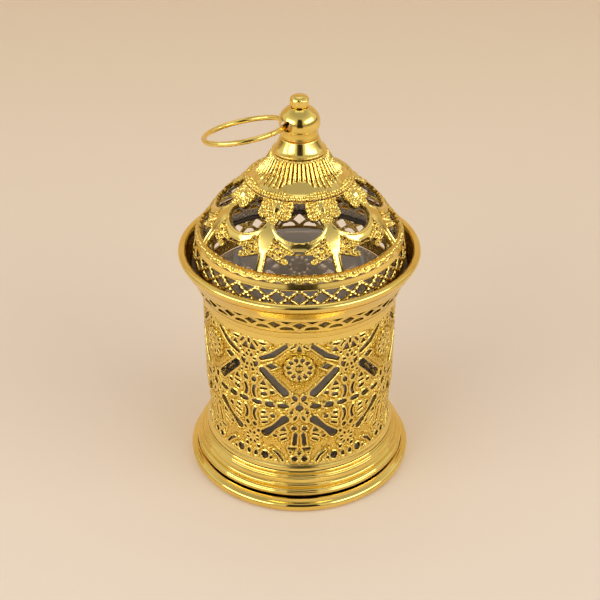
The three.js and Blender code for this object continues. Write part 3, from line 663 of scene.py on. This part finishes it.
def cutwork_drum():
    low, top = levels("cutwork_drum")
    skin = profile_skin([
        (39.2, low), (39.1, 16.6), (38.6, 17.6), (DRUM_RADIUS, 18.4), (DRUM_RADIUS, 40), (DRUM_RADIUS, 60),
        (DRUM_RADIUS, 76), (DRUM_RADIUS, 78.2), (38.9, top),
    ])
    lowest_hole, highest_hole = 18.9, 76.2
    ground_low, ground_high = 18.6, 76.6
    disc_radius, moat_radius = 5.4, 6.5
    line_offset = 0.95

    def flat(angle, share):
        return folded(angle, DRUM_FIELDS) * DRUM_RADIUS, skin(share)[1]

    def metal(angle, share):
        x, y = flat(angle, share)
        return np.maximum.reduce([drum_metal(x, y), lowest_hole - y, y - highest_hole])

    def from_border(y):
        return np.minimum(y - ground_low, ground_high - y)

    def hollow(y, distance):
        """1 on the sunk ground, 0 on lips and plain borders."""
        return np.clip((np.minimum(distance, from_border(y)) - 0.75) / 0.3, 0, 1)

    def rope_beside_arm(x, y):
        """A twisted cord along the lower side of each upper arm."""
        (top_x, top_y), (foot_x, foot_y) = UPPER_ARM[:2]
        lower_side = (x - foot_x) * (top_y - foot_y) - (y - foot_y) * (top_x - foot_x) > 0
        cord = bump_ring(bar(x, y, *UPPER_ARM), 0.75, 0.35)
        return cord * (0.22 + 0.2 * np.cos((x - y) * 5.2)) * lower_side

    def relief(angle, share, distance):
        x, y = flat(angle, share)
        low_ground = hollow(y, distance)
        lip = 0.34 * bump_ring(distance, 0.3, 0.26)
        from_centre = np.hypot(x, y - MEDALLION_LEVEL)
        disc = (from_centre < disc_radius) & (distance > 0.3)
        medallion = 0.4 * bump_ring(from_centre, 5.75, 0.35) - 0.3 * bump_ring(from_centre, moat_radius, 0.3)
        lines = -0.22 * bump_ring(distance, line_offset, 0.2) + 0.2 * bump_ring(distance, 1.5, 0.22)
        beads = 0.26 * scattered_beads(x, y, 1.0, 3.0) * low_ground
        seam = -0.3 * bump_ring(y, 78.9, 0.3)
        ground = np.where(disc, 0.0, -0.34 * low_ground + beads + lines * (from_border(y) > 0))
        return lip + medallion + rope_beside_arm(x, y) + ground + seam

    def shade(angle, share, distance):
        """Painted shade: 0 on raised metal, 1 in the chased ground, towards 2 in lines beside the lips."""
        x, y = flat(angle, share)
        from_centre = np.hypot(x, y - MEDALLION_LEVEL)
        lines = bump_ring(distance, line_offset, 0.22) * (0.4 + 0.6 * speckle(x, y)) * (from_border(y) > 0)
        ground = hollow(y, distance) * (0.1 + 0.9 * speckle(y, x))
        # More painted shade on the ground round the medallion
        medallion_shade = 0.8 * (np.abs(x) + np.abs(y - MEDALLION_LEVEL) < 11.5) * (from_centre > 6)
        ground = np.where(from_centre < disc_radius, 0, ground * (1 + medallion_shade))
        return np.clip(ground + 1.9 * lines + 0.7 * bump_ring(from_centre, moat_radius, 0.25), 0, 2)

    piece = pierced_shell("cutwork_drum_gold", skin, 792, 216, metal, relief, chased, painted_shade=shade)
    stands_for(piece, "cutwork_drum", "base")


# Neck and rim


def neck_ring():
    low, top = levels("neck_ring")
    skin = profile_skin([
        (39.3, low), (39.6, 81.2), (40.0, 82.0), (40.7, 84), (42.0, 87.4), (43.1, 89.3), (44.1, 91.2),
        (45.9, top),
    ])
    middle, half = 86.8, 2.6
    groove, fine_groove = 82.6, 80.9

    def metal(angle, share):
        """A row of diamonds; half a diamond hangs and half an ellipse stands between each two."""
        y = skin(share)[1]
        x = folded(angle, NECK_DIAMONDS) * NECK_RADIUS
        gap = math.pi * NECK_RADIUS / NECK_DIAMONDS
        full = diamond(x, y, 0, middle, 2.6, 1.95)
        upper = np.maximum(diamond(x, y, gap, middle + half, 2.6, 1.7), y - middle - half)
        lower = np.maximum(ellipse(x, y, gap, middle - half, 2.8, 1.75), middle - half - y)
        return nearest(full, upper, lower)

    def relief(angle, share, distance):
        y = skin(share)[1]
        lips = 0.2 * bump_ring(distance, 0.35, 0.3)
        lines = 0.16 * bump_ring(y, 81.6, 0.3) + 0.22 * bump_ring(y, 90.0, 0.3)
        grooves = 0.2 * bump_ring(y, fine_groove, 0.22) + 0.3 * bump_ring(y, groove, 0.25)
        return lips + lines - grooves

    # Painted shade in the grooves below and above the row of diamonds
    def shade(angle, share, distance):
        y = skin(share)[1]
        fine_groove_shade = bump_ring(y, fine_groove, 0.25) + bump_ring(y, 89.5, 0.25)
        return 1.5 * bump_ring(y, groove, 0.25) + 0.5 * fine_groove_shade

    piece = pierced_shell("neck_ring_gold", skin, 672, 64, metal, relief, neck_gold, painted_shade=shade)
    stands_for(piece, "neck_ring", "base")


def rim_lip():
    profile = [
        (44.6, 94.6), (46.0, 94.6), (46.9, 95.4), (47.4, 96.3), (47.5, 97.1), (47.2, 97.9), (46.5, 98.4),
        (45.8, 98.55), (45.1, 98.3), (44.6, 97.8), (44.3, 97.0), (44.3, 95.6), (44.6, 94.6),
    ]
    piece = turned("rim_lip_gold", softened(profile, 0.5), polished)
    stands_for(piece, "rim_lip", "base")


def lid_ledge():
    low, top = levels("lid_ledge")
    profile = softened([(38.8, low), (42.0, low), (42.5, top), (38.8, top), (38.8, low)], 0.3)
    # The ledge's near-black steel is painted shade in the gap under the lid
    piece = turned("lid_ledge_steel", profile, shade_dark_steel, 128)
    stands_for(piece, "lid_ledge", "base")


# Lid


def lid_skirt():
    low, top = levels("lid_skirt")
    skin = profile_skin([
        (SKIRT_RADIUS, low), (SKIRT_RADIUS, 94), (SKIRT_RADIUS, 97.5), (41.2, 98.6), (40.8, 99.9),
        (40.3, 101.3), (39.8, top),
    ])
    lattice_low, lattice_high = 94.9, 100.9
    middle, half = (lattice_low + lattice_high) / 2, (lattice_high - lattice_low) / 2
    pitch = TURN * SKIRT_RADIUS / SKIRT_DIAMONDS

    def strap_distance(angle, share):
        """Distance from the middle lines of the crossing straps, and the height."""
        y = skin(share)[1]
        x = folded(angle, SKIRT_DIAMONDS) * SKIRT_RADIUS
        return diamond(x, y, 0, middle, pitch / 2, half), y

    def metal(angle, share):
        off, y = strap_distance(angle, share)
        border = np.maximum(lattice_low - y, y - lattice_high)
        return np.maximum(0.6 - np.abs(off), border)

    def relief(angle, share, distance):
        off, y = strap_distance(angle, share)
        in_band = (y > lattice_low) & (y < lattice_high)
        rope = round_top(off, 0.62) * (0.75 + 0.25 * np.cos(y * 6.4))
        return np.where(in_band, 0.5 * rope - 0.1, 0)

    piece = pierced_shell(
        "lid_skirt_gold", skin, SKIRT_DIAMONDS * 28, 48, metal, relief, bright_cut, sheet=1.0)
    stands_for(piece, "lid_skirt", "lid")


def beaded_gallery():
    """A round bead in each lobe, and a fine rope that follows the lobes."""
    low, top = levels("beaded_gallery")
    skin = profile_skin([
        (GALLERY_RADIUS, low), (40.3, low + 0.7), (40.0, low + 1.5), (39.4, low + 2.2), (38.5, top)])
    rope_turns = 6 * GALLERY_BEADS

    def lobe(angle, share):
        """Share of a lobe from its middle, the same in millimetres, and the way up."""
        turn = (angle * GALLERY_BEADS / TURN + 0.5) % 1 - 0.5
        return turn, turn * TURN * GALLERY_RADIUS / GALLERY_BEADS, share * skin.length

    def metal(angle, share):
        turn, _, up = lobe(angle, share)
        return up - 0.38 + 0.4 * np.cos(TURN * turn)

    def relief(angle, share, distance):
        turn, across, up = lobe(angle, share)
        rope_level = 0.85 - 0.4 * np.cos(TURN * turn)
        rope = round_top(up - rope_level, 0.38) * (0.8 + 0.2 * np.cos(angle * rope_turns))
        bead = round_top(np.hypot(across, up - 2.0), 0.8)
        between = round_top(np.hypot(np.abs(across) - 2.0, up - 2.3), 0.55)
        return 0.4 * rope + 0.55 * bead + 0.4 * between

    # Painted shade, deepest where the rope and beads lie lowest
    def shade(angle, share, distance):
        return np.clip(0.8 - 3.0 * relief(angle, share, distance), 0, 1.6)

    columns = GALLERY_BEADS * 20
    piece = pierced_shell(
        "beaded_gallery_gold", skin, columns, 28, metal, relief, bright_cut, sheet=1.3, painted_shade=shade)
    stands_for(piece, "beaded_gallery", "lid")


def dome():
    skin = profile_skin([
        (38.7, 106.5), (36.0, 110.2), (33.4, 114.0), (30.4, 117.8), (27.0, 120.6), (23.4, 123.5),
        (21.2, 125.4), (20.5, 126.6),
    ])
    petal = (5.8, 22.6)
    lunette_level, lunette_half = 17.6, 9.2

    def flat(angle, share):
        """Way from a window's middle, way up the sheet, and half a bay's width there."""
        radius = skin(share)[0]
        return folded(angle, DOME_BAYS) * radius, share * skin.length, radius * math.pi / DOME_BAYS

    def window_distance(x, t, side):
        """Distances from the upper window, from the lower one and from the small holes."""
        lunette = ellipse(x, t, 0, lunette_level, lunette_half, 5.9)
        narrowing = 0.3 * (t - lunette_level)
        opening = np.where(t < lunette_level, lunette, x - (lunette_half - narrowing))
        petals = nearest(
            circle(x, t, *petal, 2.8),
            circle(x, t, 4.8, 25.6, 2.7),
            circle(x, t, side, 20.0, 2.4),
            circle(x, t, side, 25.0, 4.2),
        )
        upper = np.maximum.reduce([opening, -petals, t - skin.length + 0.5])
        scroll = nearest(
            bar(x, t, (13.2, 7.6), (5.6, 4.5), 0.9, 1.0),
            circle(x, t, 5.4, 4.7, 1.25),
            np.maximum(ellipse(x, t, 9.5, 9.2, 5.2, 4.2), 6.0 - t),
        )
        lower = np.maximum.reduce([
            0.2 - t, x - side + 1.45 + 0.35 * np.clip(t - 5.6, 0, 9), t - 7.2, -scroll])
        small = nearest(
            bar(x, t, (0, 8.1), (1.7, 8.1), 0.45),
            circle(x, t, 6.9, 7.1, 0.42),
            bar(x, t, (7.6, 9.3), (8.7, 9.1), 0.25),
            bar(x, t, (7.9, 11.3), (9.0, 11.0), 0.25),
            circle(x, t, 9.6, 6.4, 0.5),
            bar(x, t, (7.9, 5.1), (6.9, 4.7), 0.22),
        )
        return upper, lower, small

    def metal(angle, share):
        x, t, side = flat(angle, share)
        return nearest(*window_distance(x, t, side))

    def heart(x, t, side):
        """How far inside the smooth kite in the middle of each flower."""
        return np.clip(-diamond(x, t, side, 24.6, 2.1, 3.1), 0, 2)

    def smooth_edges(x, t, side):
        """Distance from the upper window, then how far outside the crescent and the pillar."""
        upper = window_distance(x, t, side)[0]
        return upper, upper - 4.4 + 0.33 * x, side - x - 1.4 - 0.3 * np.clip(t - 6.5, 0, 5)

    def ornament(x, t, side):
        """1 on the beaded leaves and petals, 0 on the smooth pillars and crescents."""
        upper, past_crescent, past_pillar = smooth_edges(x, t, side)
        crescent = (upper > 0) & (past_crescent < 0) & (t < 18.5)
        pillar = (past_pillar < 0) & (t < 18)
        return np.where(crescent | pillar | (heart(x, t, side) > 0), 0.0, 1.0)

    def outline(x, t, side):
        """1 in the sunk lines between the smooth parts and the beaded leaves."""
        _, past_crescent, past_pillar = smooth_edges(x, t, side)
        round_crescent = bump_ring(past_crescent, 0.2, 0.25) * (t < 18.5) * (past_pillar > 0)
        beside_pillar = bump_ring(past_pillar, 0.2, 0.25) * (t < 18) * (past_crescent > 0)
        return np.clip(round_crescent + beside_pillar, 0, 1)

    def leaf_beads(x, t):
        return scattered_beads(x + 0.4 * t, t - 0.4 * x, 1.25, 7.0)

    def relief(angle, share, distance):
        x, t, side = flat(angle, share)
        leaf = ornament(x, t, side)
        lip = 0.3 * bump_ring(distance, 0.35, 0.3)
        petal_rim = 0.3 * bump_ring(circle(x, t, *petal, 2.2), 0, 0.3) * (t > 19)
        body = leaf * (0.6 * leaf_beads(x, t) - 0.25 + petal_rim) + (1 - leaf) * 0.12
        return lip + body + 0.55 * heart(x, t, side) - 0.35 * outline(x, t, side)

    # Painted shade between the beads of the leaves and in the sunk outlines
    def shade(angle, share, distance):
        x, t, side = flat(angle, share)
        shade_between_beads = ornament(x, t, side) * (1 - leaf_beads(x, t))
        return np.clip(0.9 * shade_between_beads + 1.6 * outline(x, t, side), 0, 2)

    piece = pierced_shell("dome_gold", skin, 832, 96, metal, relief, bright_cut, sheet=1.6, painted_shade=shade)
    stands_for(piece, "dome", "lid")


def crown_cap():
    low, top = levels("crown_cap")
    skin = profile_skin([
        (20.0, low), (20.2, 127.3), (19.5, 128.1), (18.4, 128.7), (17.3, 129.4), (15.9, 130.4), (14.6, 131.5),
        (13.6, 132.7), (12.8, 133.9), (12.0, 135.1), (11.3, 136.3), (10.6, 137.4), (10.1, top - 0.05),
        (9.9, top), (9.4, top), (8.4, top), (6.4, top), (2.4, top),
    ])

    def slots(angle, share):
        """Place across a slot, share on the fluted neck, and the slot's depth."""
        height = skin(share)[1]
        turn = angle * CROWN_SLOTS / TURN
        place = turn % 1
        uneven = 0.3 * np.sin(np.floor(turn) * 2.4)
        smooth_panel = np.cos(4 * angle) * np.cos(angle) ** 2
        foot = 129.9 + 1.7 * smooth_panel + 2.4 * (place - 0.5) ** 2 + uneven
        on_neck = np.clip((height - foot) / 0.5, 0, 1) * np.clip((top - 0.4 - height) / 0.4, 0, 1)
        return place, on_neck, on_neck * bump_ring(place, 0.5, 0.19)

    def petals(angle, share):
        """Beaded petals along the edge, higher over the flowers of the dome."""
        along = share * skin.length
        on_edge = along < 2.6 - 0.9 * np.cos(DOME_BAYS * angle)
        return on_edge, scattered_beads(angle * 19.8, along - 0.1, 1.15, 5.0) * on_edge

    def relief(angle, share, distance):
        place, on_neck, slot = slots(angle, share)
        on_edge, beads = petals(angle, share)
        folds = 0.04 * np.cos(28 * angle) * (1 - on_neck) * (1 - on_edge)
        return on_neck * 0.4 * np.abs(np.cos(TURN / 2 * place)) - 0.8 * slot + 0.6 * beads + folds

    # Painted shade in the slots of the fluted neck and between the beads of the petals
    def shade(angle, share, distance):
        on_edge, beads = petals(angle, share)
        return 1.9 * slots(angle, share)[2] + on_edge * (1 - beads) * 1.2

    def whole(angle, share):
        return np.ones(angle.shape)

    columns = CROWN_SLOTS * 14
    piece = pierced_shell("crown_cap_gold", skin, columns, 110, whole, relief, bright_cut, painted_shade=shade)
    stands_for(piece, "crown_cap", "lid")


# Finial


def finial_collar():
    low, top = levels("finial_collar")
    cone_low, cone_height = low + 1.15, top - low - 1.25
    cone = [(9.55 - 2.2 * s**0.8, cone_low + cone_height * s) for s in np.linspace(0, 1, 14)]
    profile = [
        (STUD_BORE, low), (9.7, low), *bulge((9.9, low + 0.05), (9.85, low + 0.95), 0.4, 8), *cone,
        (7.2, top), (STUD_BORE, top),
    ]
    collar = turned("finial_collar_gold", profile, polished, 128)
    stands_for(collar, "finial_collar", "lid")


def finial_band():
    low, top = levels("finial_band")
    profile = [
        (STUD_BORE, low), (6.9, low), *bulge((7.0, low + 0.05), (7.0, low + 0.55), 0.15, 5),
        (6.95, low + 0.7), (6.95, top - 0.6), *bulge((7.0, top - 0.5), (6.95, top), 0.12, 5),
        (STUD_BORE, top),
    ]
    band = turned("finial_band_gold", profile, soft_gold, 128)
    drill_for_ring(band)
    stands_for(band, "finial_band", "lid")


def finial_ball():
    low, socket_top = levels("finial_ball")[0], 152.3
    start = math.asin((low - BALL_CENTRE) / BALL_HALF_HEIGHT)
    end = math.acos(KNOB_RADIUS / BALL_RADIUS)
    top = BALL_CENTRE + BALL_HALF_HEIGHT * math.sin(end)
    round_side = [(BALL_RADIUS * math.cos(a), BALL_CENTRE + BALL_HALF_HEIGHT * math.sin(a))
                  for a in np.linspace(start, end, 36)]
    profile = [(STUD_BORE, low), *round_side, (0, top), (0, socket_top), (STUD_BORE, socket_top)]
    ball = turned("finial_ball_gold", profile, polished, 128)
    drill_for_ring(ball)
    stands_for(ball, "finial_ball", "lid")


def finial_knob():
    low, top = levels("finial_knob")
    shoulder = top - 1.8
    cap_low = shoulder + 0.1
    cap = [(3.4 * math.cos(a), cap_low + (top - cap_low) * math.sin(a)) for a in np.linspace(0.15, 1.5, 10)]
    profile = [
        (0, low), (3.5, low), (3.62, low + 0.25), (3.62, shoulder - 0.2), (3.45, cap_low), *cap, (0, top),
    ]

    def facets(turn, radius, height):
        """Twelve flutes round the side and a stipple on the cap."""
        on_side = (height < shoulder) & (radius > 3)
        on_cap = (height > shoulder) & (radius > 0.6)
        stipple = 0.12 * scattered_beads(turn * 3.2, height * 1.3, 0.8, 2.0) * on_cap
        return np.where(on_side, -0.16 * np.abs(np.cos(turn * 6)) ** 0.5, stipple)

    knob = turned("finial_knob_gold", profile, polished, 96, 30, facets)
    stands_for(knob, "finial_knob", "lid")


def drill_for_ring(piece):
    """Cuts the carry ring's bore, with its wider mouths, through a finial piece."""
    reach = 15
    profile = [
        (0, -reach), (RING_MOUTH_RADIUS, -reach), (RING_MOUTH_RADIUS, -BALL_RADIUS),
        (RING_BORE_RADIUS, -RING_BORE_LAND), (RING_BORE_RADIUS, RING_BORE_LAND),
        (RING_MOUTH_RADIUS, BALL_RADIUS), (RING_MOUTH_RADIUS, reach), (0, reach),
    ]
    bore = turned("bore_cutter", profile, polished, 48)
    bore.matrix_world = (
        Matrix.Translation(RING_BORE * MM) @ Matrix.Rotation(math.pi / 2 - RING_TILT, 4, "X"))
    cut = piece.modifiers.new("bore", "BOOLEAN")
    cut.operation = "DIFFERENCE"
    cut.solver = "EXACT"
    cut.object = bore
    apply_modifiers(piece)
    bpy.data.objects.remove(bore)
    piece.data.set_sharp_from_angle(angle=math.radians(35))


def apply_modifiers(piece):
    """Gives the piece the mesh that its modifiers make."""
    shown = piece.evaluated_get(bpy.context.evaluated_depsgraph_get())
    mesh = bpy.data.meshes.new_from_object(shown)
    piece.modifiers.clear()
    piece.data = mesh


def carry_ring():
    """Round wire bent to a ring, with its two ends butted."""
    steps, sides = 220, 20
    joint_gap, start = 0.4, math.radians(-52)
    gap = joint_gap / RING_RADIUS
    angles = np.linspace(start + gap / 2, start + TURN - gap / 2, steps)
    wire = TURN * np.arange(sides) / sides
    a, w = np.meshgrid(angles, wire, indexing="ij")
    reach = RING_RADIUS + WIRE_RADIUS * np.cos(w)
    points = np.stack([reach * np.cos(a), reach * np.sin(a), WIRE_RADIUS * np.sin(w)], -1)
    points = points.reshape(-1, 3)
    across = math.sqrt(BALL_RADIUS**2 - RING_BORE.x**2)
    sagitta = RING_RADIUS - math.sqrt(RING_RADIUS**2 - across**2)
    points[:, 0] += sagitta / 2 - RING_RADIUS
    turn = Matrix.Rotation(-RING_TILT, 3, "X") @ Matrix.Rotation(-RING_DROOP, 3, "Y")
    points = points @ np.array(turn).T + np.array(RING_BORE)
    ring = np.arange(steps - 1)[:, None] * sides
    side = np.arange(sides)[None, :]
    after = (side + 1) % sides
    quads = np.stack([ring + side, ring + sides + side, ring + sides + after, ring + after], -1)
    caps = [side, side[:, ::-1] + (steps - 1) * sides]
    piece = add_piece("carry_ring_gold", points, [quads.reshape(-1, 4), *caps], polished)
    stands_for(piece, "carry_ring", "ring")


def glass_cup():
    low, top = levels("glass_cup")
    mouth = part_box("glass_cup")[1].x / MM
    base, wall = mouth - 2, 2
    profile = softened([
        (0, low + 0.4), (base - 4, low + 0.4), (base - 2.5, low), (base - 0.5, low), (base, low + 1.2),
        (mouth - 0.1, top), (mouth - wall, top), (base - 2.2, low + 4.6), (base - 3.6, low + 4),
        (0, low + 4),
    ], 0.7)
    piece = turned("glass_cup_clear", profile, glass, 128)
    stands_for(piece, "glass_cup", "cup")


def hidden_hardware():
    """The stud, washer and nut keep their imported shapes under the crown."""
    for node in ("finial_stud", "finial_washer", "finial_nut"):
        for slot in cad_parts[node].material_slots:
            slot.material = steel


# Stage, light and camera: places in metres, the lens in millimetres

NEAR_BEIGE = (0.88, 0.755, 0.635)
FAR_BEIGE = (0.88, 0.715, 0.52)
LIGHTS_AIM = Vector((0, 0, 0.08))
CAMERA_PLACE = Vector((0, -0.4016, 0.323))
CAMERA_AIM = Vector((0, 0, 0.072))
CAMERA_LENS = 70.44
CAMERA_SHIFT = 0.001


def floor():
    """Paper under the lantern that bends up behind it, yellower with distance."""
    material, nodes, links, shader = node_material("beige_backdrop")
    shader.inputs["Roughness"].default_value = 1
    place = nodes.new("ShaderNodeTexCoord")
    split = nodes.new("ShaderNodeSeparateXYZ")
    depth = nodes.new("ShaderNodeMapRange")
    depth.inputs["From Min"].default_value = -0.25
    depth.inputs["From Max"].default_value = 0.75
    links.new(place.outputs["Object"], split.inputs["Vector"])
    links.new(split.outputs["Y"], depth.inputs["Value"])
    ramp(nodes, links, depth.outputs["Result"], [(0.0, NEAR_BEIGE), (1.0, FAR_BEIGE)],
         shader.inputs["Base Color"])
    mesh = bpy.data.meshes.new("backdrop")
    half, front, back, rise, bend = 1.6, -1.2, 1.1, 1.4, 0.25
    bend_from = back - bend
    line = [(front, 0.0), (bend_from, 0.0)]
    line += [(bend_from + bend * math.sin(a), bend - bend * math.cos(a)) for a in np.linspace(0.1, 1.5, 12)]
    line += [(back, rise)]
    points = [(x, y, z) for y, z in line for x in (-half, half)]
    faces = [(k, k + 1, k + 3, k + 2) for k in range(0, len(points) - 2, 2)]
    mesh.from_pydata(points, [], faces)
    mesh.polygons.foreach_set("use_smooth", np.ones(len(faces), bool))
    mesh.materials.append(material)
    backdrop = add_object("backdrop", mesh)


def softbox(name, place, width, height, power):
    data = bpy.data.lights.new(name, "AREA")
    data.shape = "RECTANGLE"
    data.size, data.size_y = width, height
    data.energy = power
    lamp = add_object(name, data)
    lamp.location = place
    lamp.rotation_euler = (LIGHTS_AIM - lamp.location).to_track_quat("-Z", "Y").to_euler()


def dark_card():
    """Stands for the dark room behind the camera; only reflections show it."""
    stops = [(0.3, (0.010, 0.008, 0.006)), (0.7, (0.02, 0.015, 0.01))]
    material, _, _, shader, _ = grained("dark_card", 0, stops, 4, 0.1, 0.01)
    shader.inputs["Roughness"].default_value = 1
    mesh = bpy.data.meshes.new("dark_card")
    left, right, place, low, top = -0.155, 0.235, -0.7, 0.002, 0.9
    corners = [(left, place, low), (right, place, low), (right, place, top), (left, place, top)]
    mesh.from_pydata(corners, [], [(0, 1, 2, 3)])
    mesh.materials.append(material)
    card = add_object("dark_card", mesh)
    card.visible_camera = False
    card.visible_shadow = False


def studio():
    """Two long softboxes, a weak one on top, and a pale room that is dark near the floor."""
    softbox("left_softbox", (-0.75, -0.55, 0.55), 0.95, 0.3, 3.8)
    softbox("right_softbox", (0.8, -0.45, 0.6), 0.95, 0.3, 3.5)
    softbox("top_softbox", (0, 0.25, 1.0), 0.5, 0.4, 0.45)
    world = bpy.data.worlds.new("studio")
    world.use_nodes = True
    bpy.context.scene.world = world
    nodes, links = world.node_tree.nodes, world.node_tree.links
    back = nodes["Background"]
    back.inputs["Strength"].default_value = 0.85
    place = nodes.new("ShaderNodeTexCoord")
    split = nodes.new("ShaderNodeSeparateXYZ")
    links.new(place.outputs["Generated"], split.inputs["Vector"])
    room = [(0.0, (0.80, 0.72, 0.62)), (0.02, (0.16, 0.11, 0.07)), (0.09, (0.22, 0.16, 0.11)),
            (0.2, (0.94, 0.89, 0.81)), (0.6, (0.92, 0.89, 0.84)), (0.9, (0.55, 0.54, 0.53))]
    ramp(nodes, links, split.outputs["Z"], room, back.inputs["Color"])


def camera():
    data = bpy.data.cameras.new("camera")
    data.sensor_width = 36
    data.lens = CAMERA_LENS
    data.shift_x = CAMERA_SHIFT
    eye = add_object("camera", data)
    eye.location = CAMERA_PLACE
    eye.rotation_euler = (CAMERA_AIM - CAMERA_PLACE).to_track_quat("-Z", "Y").to_euler()
    bpy.context.scene.camera = eye


camera()
base_tray()
foot_moulding()
candle_plate()
cutwork_drum()
neck_ring()
rim_lip()
lid_ledge()
lid_skirt()
beaded_gallery()
dome()
crown_cap()
finial_collar()
finial_band()
finial_ball()
finial_knob()
carry_ring()
glass_cup()
hidden_hardware()
floor()
dark_card()
studio()

bpy.context.scene.view_settings.view_transform = "Standard"
